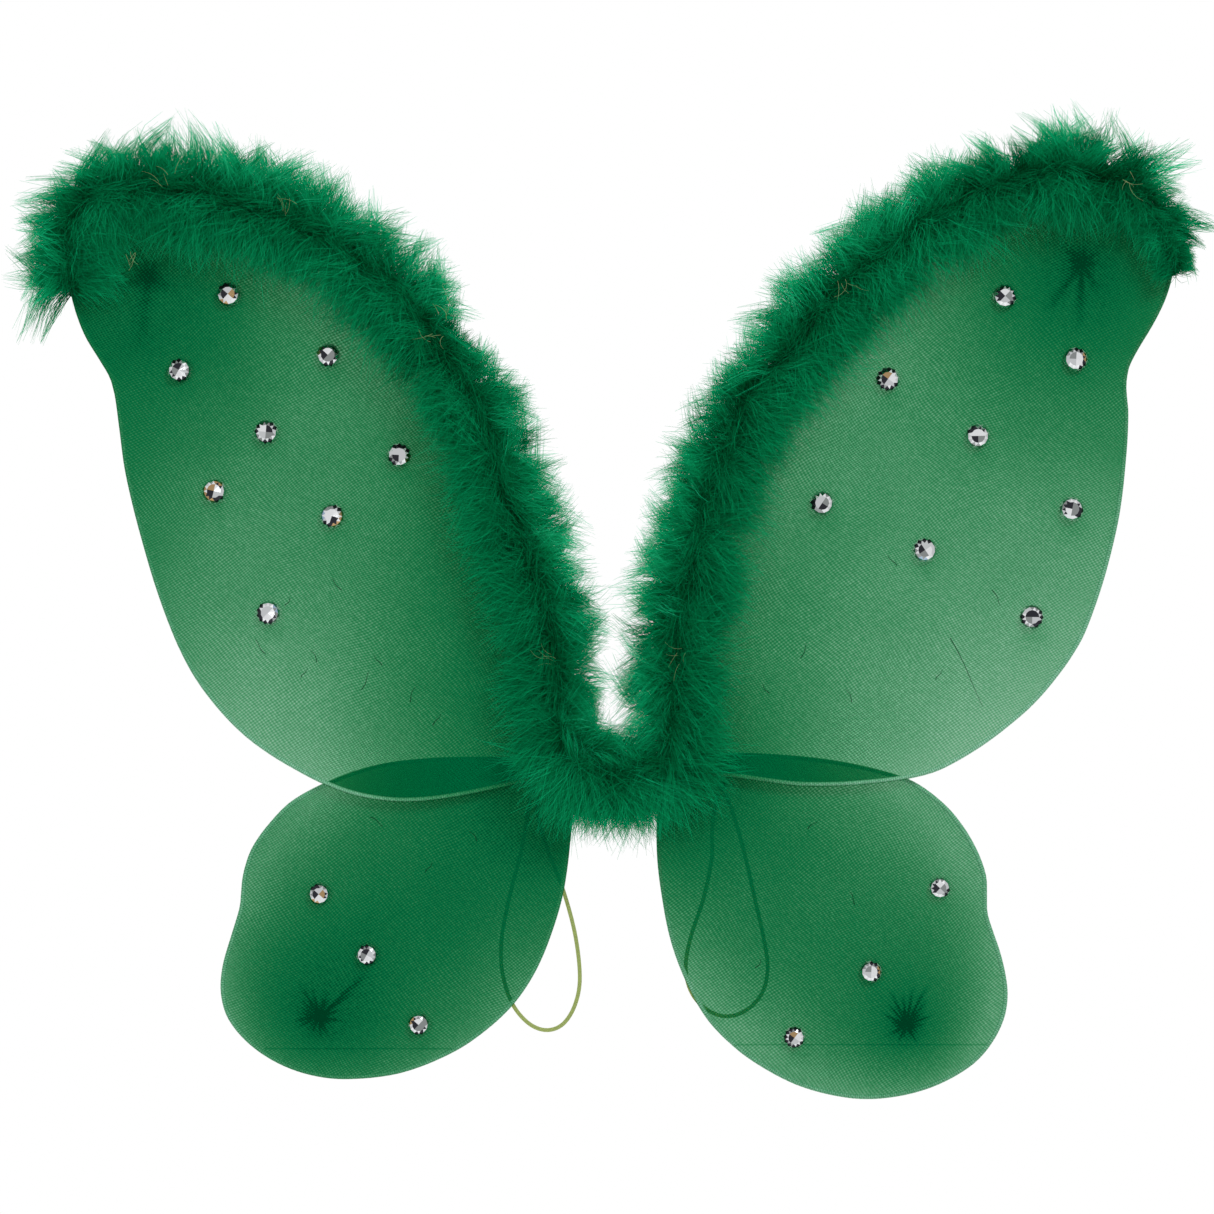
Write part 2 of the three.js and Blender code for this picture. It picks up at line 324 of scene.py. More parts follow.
def elastic_material():
    """Braided elastic, thin enough to glow a little against the light."""
    dark, light = (0.08, 0.12, 0.04), (0.16, 0.22, 0.11)
    braid = wound_material("olive_elastic", dark, light, 0.9 * MM, 0.7, 0.2 * MM, 0.9)
    return let_light_through(braid, (0.88, 0.95, 0.50), 0.62)


def felt_material():
    material, tree, shader = new_material("green_felt")
    fibres = noise(tree, object_place(tree), 900.0, 6.0)
    mottle = noise(tree, object_place(tree), 120.0, 3.0)
    blend = weighted(tree, (fibres, 0.6), (mottle, 0.4))
    colour = ramp(tree, blend, (0.3, (0.001, 0.035, 0.013)), (0.7, (0.006, 0.085, 0.034)))
    set_inputs(tree, shader, Base_Color=colour, Roughness=0.95, Sheen_Weight=0.1)
    bump(tree, shader, fibres, 0.7, 0.4 * MM)
    return material


def tape_material():
    """Woven cloth tape, its threads across and along the winding."""
    material, tree, shader = new_material("cloth_tape")
    along = wave(tree, object_place(tree), 0.6 * MM)
    across = wave(tree, object_place(tree), 0.6 * MM, direction="Z")
    weave = maths(tree, "MULTIPLY", along, across)
    colour = ramp(tree, weave, (0.0, (0.002, 0.028, 0.012)), (0.8, (0.008, 0.075, 0.032)))
    set_inputs(tree, shader, Base_Color=colour, Roughness=0.8)
    bump(tree, shader, weave, 0.6, 0.15 * MM)
    return material


# ---------------------------------------------------------------- lines and meshes


def side_by_side(*values):
    """Numbers or arrays as the columns of points."""
    return np.stack(np.broadcast_arrays(*values), axis=-1)


def sizes(vectors):
    return np.linalg.norm(vectors, axis=-1)


def lengths_along(line):
    """How far along a line each of its points is."""
    return np.concatenate([[0], np.cumsum(sizes(np.diff(line, axis=0)))])


def read_along(values, marks, at):
    """Rows of values, given at some marks, read at the places at."""
    return side_by_side(*(np.interp(at, marks, column) for column in values.T))


def outline_of(node):
    """The edge of a sleeve's flat front face, as (x, z) corners in order round the wing."""
    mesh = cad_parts[node].data
    places = [tuple(round(c, 6) for c in v.co) for v in mesh.vertices]
    front = min(p[1] for p in places)
    uses = Counter()
    for face in mesh.polygons:
        corners = [places[i] for i in face.vertices]
        if max(c[1] for c in corners) < front + 1e-5:
            uses.update(frozenset(pair) for pair in zip(corners, corners[1:] + corners[:1]))
    beside = {}
    for pair, count in uses.items():
        if count == 1:
            a, b = pair
            beside.setdefault(a, []).append(b)
            beside.setdefault(b, []).append(a)
    first = next(iter(beside))
    line = [first, beside[first][0]]
    while len(line) < len(beside):
        line.append(next(p for p in beside[line[-1]] if p != line[-2]))
    return np.array([(x, z) for x, _, z in line])


def from_root(outline, root):
    """The outline started at the root's upper end and run out along the upper edge."""
    ahead = np.roll(outline, -1, axis=0)
    gaps = sizes((outline + ahead) / 2 - root)
    line = np.roll(outline, -(int(gaps.argmin()) + 1), axis=0)
    return line if line[0, 1] > line[-1, 1] else line[::-1]


def spaced(points, spacing, closed=False):
    """Points about a spacing apart on a smooth curve through the given ones."""
    points = np.asarray(points, float)
    if closed:
        padded = np.vstack([points[-1:], points, points[:2]])
    else:
        padded = np.vstack([2 * points[0] - points[1], points, 2 * points[-1] - points[-2]])
    t = np.linspace(0, 1, 12, endpoint=False)[:, None]
    runs = []
    for a, b, c, d in zip(padded, padded[1:], padded[2:], padded[3:]):
        bend = (2 * a - 5 * b + 4 * c - d) * t**2 + (3 * b - a - 3 * c + d) * t**3
        runs.append(b + 0.5 * ((c - a) * t + bend))
    fine = np.vstack(runs + [padded[-2:-1]])
    lengths = lengths_along(fine)
    steps = max(int(round(lengths[-1] / spacing)), 2)
    at = np.linspace(0, lengths[-1], steps + 1)
    return read_along(fine, lengths, at)


def tangents(line):
    along = np.gradient(line, axis=0)
    return along / sizes(along)[:, None]


def in_plane(line, y):
    """(x, z) points as (x, y, z), with one y or a y each."""
    return side_by_side(line[:, 0], y, line[:, 1])


def signed_area(line):
    """The area an (x, z) line goes round, positive if it turns from +X to +Z."""
    x, z = line.T
    return np.sum(x * np.roll(z, -1) - np.roll(x, -1) * z) / 2


def inwards(line):
    """Unit normals of an (x, z) line that point to the inside of the shape it goes round."""
    along = tangents(line)
    normal = side_by_side(-along[:, 1], along[:, 0])
    return normal if signed_area(line) > 0 else -normal


def piece(name, vertices, faces, materials, slots=None, smooth=True):
    mesh = bpy.data.meshes.new(name)
    mesh.from_pydata(np.asarray(vertices).tolist(), [], [list(map(int, f)) for f in faces])
    for material in materials:
        mesh.materials.append(material)
    if slots is not None:
        mesh.polygons.foreach_set("material_index", np.asarray(slots, np.int32))
    mesh.polygons.foreach_set("use_smooth", np.full(len(mesh.polygons), smooth))
    mesh.update()
    made = bpy.data.objects.new(name, mesh)
    bpy.context.collection.objects.link(made)
    return made


def grid_faces(rows, columns, wrap):
    """Quads between rows of points, joined round into a tube if wrap."""
    i, j = np.meshgrid(np.arange(rows - 1), np.arange(columns if wrap else columns - 1), indexing="ij")
    a = i * columns + j
    b = i * columns + (j + 1) % columns
    return side_by_side(a, b, b + columns, a + columns).reshape(-1, 4)


def frames_along(line):
    """Two unit vectors across a line at each of its points, that turn as little as they can."""
    along = tangents(line)
    side = np.cross(along[0], [0.03, 1.0, 0.07])
    sides = []
    for tangent in along:
        side = side - tangent * (side @ tangent)
        side = side / np.linalg.norm(side)
        sides.append(side)
    sides = np.array(sides)
    return sides, np.cross(along, sides)


def tube(name, line, radius, material, sides=12, closed=False):
    """A round tube along a line, its ends closed. Its UV map, length, is along and round, in metres."""
    line = np.asarray(line, float)
    radii = np.broadcast_to(np.asarray(radius, float), len(line))
    across, over = frames_along(line)
    angles = np.linspace(0, 2 * math.pi, sides, endpoint=False)
    rings = across[:, None] * np.cos(angles)[:, None] + over[:, None] * np.sin(angles)[:, None]
    vertices = (line[:, None] + rings * radii[:, None, None]).reshape(-1, 3)
    faces = [tuple(f) for f in grid_faces(len(line), sides, True)]
    last = (len(line) - 1) * sides
    if closed:
        faces += [(last + j, last + (j + 1) % sides, (j + 1) % sides, j) for j in range(sides)]
    else:
        faces += [tuple(range(sides))[::-1], tuple(last + j for j in range(sides))]
    made = piece(name, vertices, faces, [material])
    lengths = lengths_along(line)
    uv = made.data.uv_layers.new(name="length")
    for polygon in made.data.polygons:
        places = [divmod(vertex, sides) for vertex in polygon.vertices]
        wraps = max(side for _, side in places) == sides - 1
        for loop, (ring, side) in zip(polygon.loop_indices, places):
            turn = 1.0 if side == 0 and wraps else side / sides
            uv.data[loop].uv = (lengths[ring], turn * 2 * math.pi * radii[ring])
    return made


def joined(name, objects):
    """Several objects as one piece."""
    with bpy.context.temp_override(
        active_object=objects[0],
        object=objects[0],
        selected_editable_objects=objects,
        selected_objects=objects,
    ):
        bpy.ops.object.join()
    objects[0].name = name
    objects[0].data.name = name
    return objects[0]


def middle(node):
    low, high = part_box(node)
    return np.array((low + high) / 2)


def inside(points, polygon):
    """Which (x, z) points lie in the polygon."""
    x, z = points[:, 0:1], points[:, 1:2]
    ax, az = polygon.T
    bx, bz = np.roll(polygon, -1, axis=0).T
    spans = (az > z) != (bz > z)
    with np.errstate(divide="ignore", invalid="ignore"):
        crossing = (bx - ax) * (z - az) / (bz - az) + ax
    return (spans & (x < crossing)).sum(axis=1) % 2 == 1


def distance_to(points, line):
    """Each point's distance to the nearest of the line's points."""
    return np.array([sizes(line - p).min() for p in points])


# ---------------------------------------------------------------- nylon


# How dense the nylon is: in the middle of each wing, changing across and up it (straight and as a bow,
# over half the wing's width or height), never under the least, and added near the root and the toe
DENSITY = {
    "left_upper": {
        "middle": 0.87, "across": 0.63, "up": -0.19, "bow": (1.22, -0.47),
        "least": 0.6, "root": 0.4, "toe": (-1.2, 3.1),
    },
    "right_upper": {
        "middle": 0.74, "across": -0.21, "up": -0.10, "bow": (0.16, -0.38),
        "least": 0.55, "root": 1.7, "toe": (-1, 3),
    },
    "left_lower": {
        "middle": 0.62, "across": 0.11, "up": 0.16, "bow": (-0.6, -0.6),
        "least": 0.93, "root": 4.4, "toe": (-0.9, 3.1),
    },
    "right_lower": {
        "middle": 0.74, "across": 0.05, "up": 0.05, "bow": (-0.55, -0.6),
        "least": 0.84, "root": 3.6, "toe": (0.3, 1.5),
    },
}
MOST_DENSE = 2.3
COARSE = 5.0 * MM
# The longest folds at each gathered toe, as the angle up from +X in degrees and the length in millimetres
GATHERS = {
    "left_upper": [(262, 42), (200, 20), (330, 16)],
    "right_upper": [(234, 34), (268, 36), (300, 18), (140, 14)],
    "left_lower": [
        (43, 34), (37, 24), (121, 19), (104, 15), (190, 14), (350, 12), (72, 14), (138, 13), (20, 12),
    ],
    "right_lower": [
        (62, 24), (80, 20), (50, 17), (97, 17), (115, 20), (132, 15), (155, 14), (210, 12), (20, 15),
    ],
}
SOFTNESS = {"left_upper": 4.0, "right_upper": 2.0, "left_lower": 1.0, "right_lower": 1.0}


def nylon_points(edge, toe):
    """Points inside the edge: a fine fan of them round the gathered toe, and an even field elsewhere."""
    low, high = edge.min(axis=0), edge.max(axis=0)
    rows = np.arange(low[1], high[1], COARSE * 0.866)
    field = [
        (x, z)
        for i, z in enumerate(rows)
        for x in np.arange(low[0] + (i % 2) * COARSE / 2, high[0], COARSE)
    ]
    reach = 44 * MM
    field = np.array(field)
    field = field[sizes(field - toe) > reach]
    fan = [
        toe + r * np.array([math.cos(a), math.sin(a)])
        for r in np.geomspace(2.2 * MM, reach, 20)
        for a in np.linspace(0, 2 * math.pi, 160, endpoint=False)
    ]
    points = np.vstack([field, fan])
    points = points[inside(points, edge)]
    points = points[distance_to(points, edge) > 3.2 * MM]
    inner = inwards(edge)
    return np.vstack([edge + inner * 0.8 * MM, edge + inner * 1.5 * MM, points])


def gathers(name, offsets):
    """How far each place, measured from the toe, is on one of the folds that run out from it."""
    rng = np.random.default_rng(len(name))
    soft = SOFTNESS[name]
    short = [(angle + rng.normal(0, 6), rng.uniform(6, 12)) for angle in range(0, 360, 19)]
    height = np.zeros(len(offsets))
    for degrees, length in GATHERS[name] + short:
        along_ray = np.array([math.cos(math.radians(degrees)), math.sin(math.radians(degrees))])
        along = offsets @ along_ray
        across = offsets @ np.array([-along_ray[1], along_ray[0]])
        width = soft * (0.35 * MM + 0.035 * np.abs(along))
        fade = np.clip(1 - along / (length * MM), 0, 1) * (along > 0)
        height = np.maximum(height, fade * np.exp(-((across / width) ** 2)))
    return height / soft


def nylon_density(name, places, edge, toe, back):
    """The density at each (x, z) place on one layer, with a painted shadow below each stone on the back
    layer.
    """
    look = DENSITY[name]
    root = np.array([edge[0, 0], edge[[0, -1], 1].mean()])
    low, high = edge.min(axis=0), edge.max(axis=0)
    across, up = ((places - (low + high) / 2) / ((high - low) / 2)).T
    from_root = sizes(places - root)
    from_toe = sizes(places - toe)
    density = look["middle"] + look["across"] * across + look["up"] * up
    density += look["bow"][0] * across**2 + look["bow"][1] * up**2
    density += look["root"] * np.exp(-from_root / (50 * MM))
    near, far = look["toe"]
    gather = near * np.exp(-from_toe / (15 * MM)) + far * np.exp(-from_toe / (50 * MM))
    density = np.clip(density.clip(None, MOST_DENSE) + gather, look["least"], MOST_DENSE)
    density += 3.0 * gathers(name, places - toe) + 2.0 * np.exp(-from_toe / (4 * MM))
    # Painted shadow: the back layer is made denser in a soft spot below and a little right of each stone,
    # standing in for the stone's shadow
    if back:
        for stone in stones_on(name):
            below = middle(stone)[[0, 2]] + np.array([2.0, -8.5]) * MM
            spread = sizes(places - below) / (5.5 * MM)
            density += 0.28 * np.exp(-(spread**2))
    return np.maximum(density, 0.3)


# Pulled threads on each wing's front, as the (x, z) of one end, the angle up from +X in degrees, and the
# length, all in millimetres
SNAGS = {
    "left_upper": [
        (-176, 64, 128, 9), (-158, 52, 62, 6), (-150, 60, 118, 7), (-128, 46, 66, 10), (-118, 58, 124, 6),
        (-104, 40, 70, 8), (-138, 96, 132, 8), (-92, 28, 60, 7), (-166, 88, 62, 5),
    ],
    "right_upper": [
        (167, 72, -64, 38), (160, 51, 62, 6), (118, 40, 116, 7), (92, 62, 64, 8), (140, 108, 128, 7),
        (76, 44, 122, 6), (188, 96, -60, 9),
    ],
    "left_lower": [(-124, -18, -34, 8), (-96, -46, 60, 6), (-70, -30, 128, 6)],
    "right_lower": [(96, -24, 42, 6), (120, -62, 116, 7), (70, -94, 60, 5)],
}


def make_snags(name, y, edge):
    """Threads pulled up out of the knit, lying on the front layer."""
    snags = []
    for i, (x, z, degrees, length) in enumerate(SNAGS[name]):
        turn = math.radians(degrees)
        ahead = np.array([math.cos(turn), math.sin(turn)])
        aside = np.array([-math.sin(turn), math.cos(turn)])
        t = np.linspace(0, 1, 9)
        wander = 0.5 * np.sin(5 * t + i)
        flat = ((x, z) + length * t[:, None] * ahead + wander[:, None] * aside) * MM
        line = in_plane(flat, y - layer_depth(flat, edge) - 0.08 * MM)
        snags.append(tube(f"{name}_snag_{i}", line, 0.20 * MM * (1 - 0.6 * t), THREAD, sides=4))
    made = joined(name + "_snags", snags)
    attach(made, name)


def stones_on(wing):
    return sorted(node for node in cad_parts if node.startswith(wing + "_stone"))


def layer_depth(places, edge):
    """How far a layer stands off the wing's middle plane: by the wire at the edge, and less further in."""
    return 0.35 * MM + 0.95 * MM * np.exp(-distance_to(places, edge) / (9 * MM))


def make_sleeve(name, edge, y):
    """Two layers of nylon that meet round the wire, the back one drawn together at the toe."""
    toe = middle(name + "_toe_knot")[[0, 2]]
    field = nylon_points(edge, toe)
    flat = np.vstack([edge, field])
    count = len(edge)
    ring = [(i, (i + 1) % count) for i in range(count)]
    _, _, cells, _, _, _ = delaunay_2d_cdt([tuple(p) for p in flat], ring, [], 1, 1e-7)
    apart = layer_depth(flat, edge)
    gather = 1.2 * MM * gathers(name, flat - toe)
    gather[:count] = 0
    front = in_plane(flat, y - apart)
    back = in_plane(flat, y + apart + gather)
    density_front = nylon_density(name, flat, edge, toe, False)
    density_back = nylon_density(name, flat, edge, toe, True)
    for density in (density_front, density_back):
        density[:count] *= 0.7
        density[count:2 * count] *= 0.85
    outward = -inwards(edge)
    turns = np.radians([-60, -30, 0, 30, 60])
    radius = apart[0]
    rims = [in_plane(edge + outward * radius * math.cos(a), y + radius * math.sin(a)) for a in turns]
    vertices = np.vstack([front, back] + rims)
    density = np.concatenate([density_front, density_back] + [density_front[:count]] * len(rims))
    start = len(flat)
    faces = [tuple(c) for c in cells] + [tuple(start + i for i in reversed(c)) for c in cells]
    rows = [np.arange(count)] + [2 * start + k * count + np.arange(count) for k in range(len(rims))]
    rows.append(start + np.arange(count))
    for above, below in zip(rows, rows[1:]):
        faces += [(above[i], below[i], below[j], above[j]) for i, j in ring]
    made = piece(name + "_nylon", vertices, faces, [NYLON])
    attribute = made.data.attributes.new("knit_density", "FLOAT", "POINT")
    attribute.data.foreach_set("value", density.astype(np.float32))
    return made


# ---------------------------------------------------------------- wings


def make_wing(name):
    """A wing's nylon, wire and small bindings, on the wing's own body."""
    y = UPPER_Y if "upper" in name else LOWER_Y
    root = middle(name + "_root_tie")[[0, 2]]
    outline = spaced(from_root(outline_of(name + "_nylon_sleeve"), root), 3.4 * MM)
    edge = outline + inwards(outline) * SLEEVE_HALF
    sleeve = make_sleeve(name, edge, y)
    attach(sleeve, name)
    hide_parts(name + "_nylon_sleeve")
    wire = tube(name + "_wire", in_plane(spaced(edge, 1.6 * MM), y), WIRE_RADIUS, WIRE, sides=8)
    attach(wire, name)
    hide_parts(name + "_frame_wire")
    make_root_tie(name)
    make_toe_knot(name)
    make_snags(name, y, edge)
    return edge


def make_root_tie(name):
    """Thread wound round the sleeve's end."""
    centre = middle(name + "_root_tie")
    turns = 7
    t = np.linspace(0, 1, turns * 20 + 1)
    angle = 2 * math.pi * turns * t
    turn = side_by_side((t - 0.5) * 2.4, 1.6 * np.cos(angle), 4.6 * np.sin(angle))
    line = centre + turn * MM
    tie = tube(name + "_tie", line, 0.28 * MM, THREAD, sides=6)
    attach(tie, name)
    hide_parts(name + "_root_tie")


def make_toe_knot(name):
    """A ruffled bunch of nylon with thread wound round its neck. The bunch takes the dark thread's colour,
    darker than the nylon's yarn, as painted shade in its gathered folds.
    """
    centre = middle(name + "_toe_knot")
    rings = [
        (0.2, -1.2), (1.1, -0.9), (2.0, 0.1), (1.5, 0.6), (3.3, 1.0), (3.9, 1.2), (2.2, 1.0), (0.3, 0.6),
    ]
    sides = 56
    angles = np.linspace(0, 2 * math.pi, sides, endpoint=False)
    ruffle = 1 + 0.22 * np.cos(9 * angles) + 0.12 * np.cos(14 * angles + 1)
    rows = []
    for radius, depth in rings:
        reach = radius * MM * (ruffle if radius > 1 else 1)
        rows.append(centre + side_by_side(reach * np.cos(angles), depth * MM, reach * np.sin(angles)))
    faces = grid_faces(len(rings), sides, True)
    # Painted shade: the nylon bunch gets the dark thread material, darker than its own yarn
    bunch = piece(name + "_toe", np.vstack(rows), faces, [THREAD])
    t = np.linspace(0, 2 * math.pi * 3, 90)
    neck = side_by_side(1.9 * np.cos(t), 0.35 + 0.08 * t / math.pi, 1.9 * np.sin(t))
    thread = tube(name + "_toe_thread", centre + neck * MM, 0.3 * MM, THREAD, sides=6)
    knot = joined(name + "_toe", [bunch, thread])
    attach(knot, name)
    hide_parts(name + "_toe_knot")


# ---------------------------------------------------------------- stones


def cut_stone(name, centre, radius, height, rng):
    """A foil-backed stone: a girdle, long and short crown facets, and a table over the cone below it. Its
    facets take tones at random, most of them painted reflections of lamps, a dark room and coloured flashes.
    """
    sides = 12
    turn = rng.uniform(0, 2 * math.pi)

    def ring(share, up, half):
        angles = turn + 2 * math.pi * (np.arange(sides) + half / 2) / sides
        circle = side_by_side(np.cos(angles), 0, np.sin(angles))
        return centre + circle * radius * share + FRONT * height * up

    rings = [ring(1.0, 0, 0), ring(1.0, 0.25, 0), ring(0.84, 0.66, 1), ring(0.58, 1.0, 0)]
    tip = centre + (FRONT * height * 0.9)
    vertices = np.vstack(rings + [tip[None]])
    faces = [tuple(range(sides))]
    slots = [SILVER]
    outer = rng.choice([SILVER, WHITE, GREY], sides, p=[0.4, 0.35, 0.25])
    bezel = rng.choice([DARK, GREY, SILVER, AMBER, BLUE], sides // 2, p=[0.3, 0.25, 0.33, 0.06, 0.06])
    bezel = np.repeat(bezel, 2)
    kite = np.repeat(rng.choice([WHITE, SILVER, GREY, DARK], sides // 2, p=[0.3, 0.3, 0.2, 0.2]), 2)
    cone = rng.choice([WHITE, SILVER, GREY, DARK, AMBER], sides // 3, p=[0.28, 0.2, 0.2, 0.26, 0.06])
    cone = np.repeat(cone, 3)
    base, girdle, crown, table = (level * sides for level in range(4))
    for i in range(sides):
        j = (i + 1) % sides
        faces += [
            (base + i, base + j, girdle + j, girdle + i),
            (girdle + i, girdle + j, crown + i),
            (girdle + j, crown + j, crown + i),
            (crown + i, crown + j, table + j),
            (crown + i, table + j, table + i),
            (table + i, table + j, 4 * sides),
        ]
        slots += [WHITE, outer[i], bezel[i], bezel[i], kite[i], cone[i]]
    return piece(name, vertices, faces, STONE, slots, smooth=False)


def make_stones(wing):
    """A wing's stones, each in the place and size of the CAD model's."""
    rng = np.random.default_rng(SEED + len(wing) + ord(wing[0]))
    for node in stones_on(wing):
        low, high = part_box(node)
        centre = np.array(((low.x + high.x) / 2, high.y, (low.z + high.z) / 2))
        stone = cut_stone(node + "_cut", centre, (high.x - low.x) / 2, high.y - low.y, rng)
        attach(stone, wing)
        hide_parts(node)


# ---------------------------------------------------------------- marabou


# Places along the trim, as (x, z) in metres with a strength, where thread pinches the down to the wire
PINCHES = [
    (-0.240, 0.296, 0.20), (-0.162, 0.280, 0.15), (-0.088, 0.219, 0.50), (-0.043, 0.107, 0.15),
    (-0.030, 0.060, 0.20), (0.030, 0.072, 0.15), (0.052, 0.170, 0.15), (0.114, 0.249, 0.25),
    (0.200, 0.300, 0.55), (0.247, 0.302, 0.60),
]
# Places along the trim, as (x, z) in metres, with how far the down stands out there as a share of OUTER
OUTER_SHARES = [
    (-0.273, 0.246, 1.00), (-0.270, 0.288, 1.10), (-0.230, 0.300, 1.12), (-0.200, 0.291, 1.24),
    (-0.160, 0.280, 1.20), (-0.130, 0.265, 1.08), (-0.100, 0.240, 1.03), (-0.088, 0.219, 0.76),
    (-0.070, 0.185, 1.03), (-0.050, 0.130, 1.10), (-0.035, 0.080, 1.04), (-0.026, 0.040, 0.84),
    (-0.020, 0.013, 0.95), (0.000, 0.003, 0.72), (0.022, 0.012, 0.94), (0.030, 0.050, 1.04),
    (0.038, 0.110, 1.05), (0.050, 0.160, 0.95),
    (0.080, 0.205, 1.00), (0.105, 0.240, 1.18), (0.130, 0.260, 1.05), (0.170, 0.285, 0.98),
    (0.220, 0.310, 1.00), (0.250, 0.302, 1.30), (0.272, 0.285, 0.80), (0.281, 0.271, 0.45),
    (0.285, 0.252, 0.40),
]
CORE_Y = -18.0 * MM
STRAND_POINTS = 5
TUFT = 34
OUTER = 29 * MM
INNER = 36 * MM
DEPTH = 15 * MM
# Of all tufts, the share of extra ones over the centre
CENTRE_TUFTS = 0.045
# Out of 1, tufts up to the first grow outwards, up to the second in over the wing, and the rest forwards
KINDS = (0.38, 0.74)
LEFT_TIP = (-0.273, 0.246)
RIGHT_TIP = (0.277, 0.252)
# The trim follows the wings' edges down to here, and the centre's own points below
LOWEST_ON_WING = 24 * MM
CENTRE_LINE = [(-22, 13.5), (-12, 6.5), (-1.5, 3), (12, 6), (23, 11)]


def trim_line(left_edge, right_edge):
    """The marabou's core from the left wing's tip across the centre to the right wing's tip."""
    left_tip = int(np.argmin(np.abs(left_edge - LEFT_TIP).sum(axis=1)))
    right_tip = int(np.argmin(np.abs(right_edge - RIGHT_TIP).sum(axis=1)))
    left = left_edge[: left_tip + 1][::-1]
    right = right_edge[: right_tip + 1]
    left = left[left[:, 1] > LOWEST_ON_WING]
    right = right[np.argmax(right[:, 1] > LOWEST_ON_WING):]
    return spaced(np.vstack([left[::3], np.array(CENTRE_LINE) * MM, right[::3]]), 1.0 * MM)


def plan_trim(line):
    """The core's path, and at each of its points the way along it and the way out from the wing."""
    path = in_plane(line, CORE_Y)
    along = tangents(path)
    outwards = side_by_side(-along[:, 2], 0, along[:, 0])
    middle_share = np.abs(line[:, 0]).argmin() / len(line)
    return SimpleNamespace(line=line, path=path, along=along, outwards=outwards, middle_share=middle_share)


def place_tufts(trim, count, rng):
    """Where each tuft grows, counted in points of the path, and how far a few grow past its ends."""
    share = rng.uniform(-0.008, 1.008, count)
    centre = rng.uniform(0, 1, count) < CENTRE_TUFTS
    share = np.where(centre, rng.normal(trim.middle_share, 0.013, count), share)
    past = np.clip(np.abs(share - 0.5) - 0.5, 0, 1) * 50
    at = np.clip(share, 0, 1) * (len(trim.path) - 1)
    return SimpleNamespace(count=count, centre=centre, past=past, at=at)


def turn_tufts(tufts, rng):
    """The angle round the core each tuft grows at: 0 outwards, pi in over the wing, half pi forwards."""
    count = tufts.count
    tufts.kind = rng.uniform(0, 1, count)
    grows_out = tufts.kind < KINDS[0]
    angle = np.where(grows_out, rng.normal(0, 0.5, count), np.pi + rng.normal(0, 0.6, count))
    angle = np.where(tufts.kind > KINDS[1], np.pi / 2 + rng.normal(0, 0.9, count), angle)
    tufts.angle = np.where(tufts.centre, np.pi + rng.normal(0, 0.4, count), angle)
    tufts.outer = np.clip(np.cos(tufts.angle), 0, 1)
    tufts.inner = np.clip(-np.cos(tufts.angle), 0, 1)


def pinch_tufts(trim, tufts, rng):
    """How tightly thread holds each tuft, and how far it leans along the trim, away from that thread."""
    to_end = np.sign(tufts.at - len(trim.path) / 2)
    tufts.pinch = np.zeros(tufts.count)
    tufts.lean = tufts.past * to_end * rng.uniform(0.0, 0.5, tufts.count)
    for x, z, strength in PINCHES:
        place = sizes(trim.line - (x, z)).argmin()
        gap = (tufts.at - place) * MM
        tufts.pinch += strength * np.exp(-((gap / (7 * MM)) ** 2))
        tufts.lean += strength * 1.2 * np.sign(gap) * np.exp(-np.abs(gap) / (8 * MM))


def stretch_tufts(trim, tufts, rng):
    """How far out each tuft stands."""
    at, outer, inner, count = tufts.at, tufts.outer, tufts.inner, tufts.count
    points = len(trim.path)
    faces_out = outer > 0.3
    marks = [sizes(trim.line - (x, z)).argmin() for x, z, _ in OUTER_SHARES]
    outer_share = np.interp(at, marks, [share for _, _, share in OUTER_SHARES])
    swell = 1 + 0.06 * np.sin(at * 0.21) + 0.06 * np.sin(at * 0.47 + 1)
    reach = OUTER * outer_share * outer * swell + INNER * inner + DEPTH * (1 - outer - inner).clip(0)
    from_middle = np.abs(np.interp(at, np.arange(points), trim.line[:, 0]))
    tufts.ragged = np.clip((from_middle - 0.17) / 0.06, 0, 1) * outer
    reach *= 1 - tufts.pinch.clip(0, 0.8) * (0.6 * outer + 0.3 * inner)
    reach *= rng.uniform(0.74, 1.10, count) + tufts.ragged * rng.uniform(-0.30, 0.08, count)
    reach = np.where(tufts.centre, INNER * rng.uniform(0.55, 0.88, count), reach)
    tufts.by_end = np.exp(-np.minimum(at, points - 1 - at) / 12)
    reach *= 1 - tufts.by_end * np.where(faces_out, 0.0, 0.35)
    by_right_end = np.clip((at - points + 50) / 15, 0, 1)
    reach *= 1 - by_right_end * np.where(faces_out, 0.0, 0.45)
    spiky = (rng.uniform(0, 1, count) < 0.12) & faces_out
    longest = 1.12 * np.where(faces_out, OUTER * outer_share, INNER)
    tufts.reach = np.minimum(np.where(spiky, reach * 1.18, reach), longest)


def scatter_tufts(trim, tufts, rng):
    """How far each tuft slopes along the trim and starts off the core, more wildly over the centre."""
    count = tufts.count
    forwards = tufts.kind > KINDS[1]
    slope = rng.normal(0, 0.30, count) * (1 + 0.4 * tufts.ragged)
    slope = slope + np.where(forwards, rng.normal(0, 0.9, count), 0)
    near_centre = np.exp(-(((tufts.at / len(trim.path) - trim.middle_share) / 0.04) ** 2))
    wild = (1 + near_centre)[:, None]
    tufts.stray = rng.normal(0, 1, (count, 3)) * np.array([2.2, 0.8, 2.2]) * MM * wild
    slope = slope + near_centre * rng.normal(0, 0.5, count)
    tufts.slope = tufts.lean + slope * (1 - 0.7 * tufts.by_end)


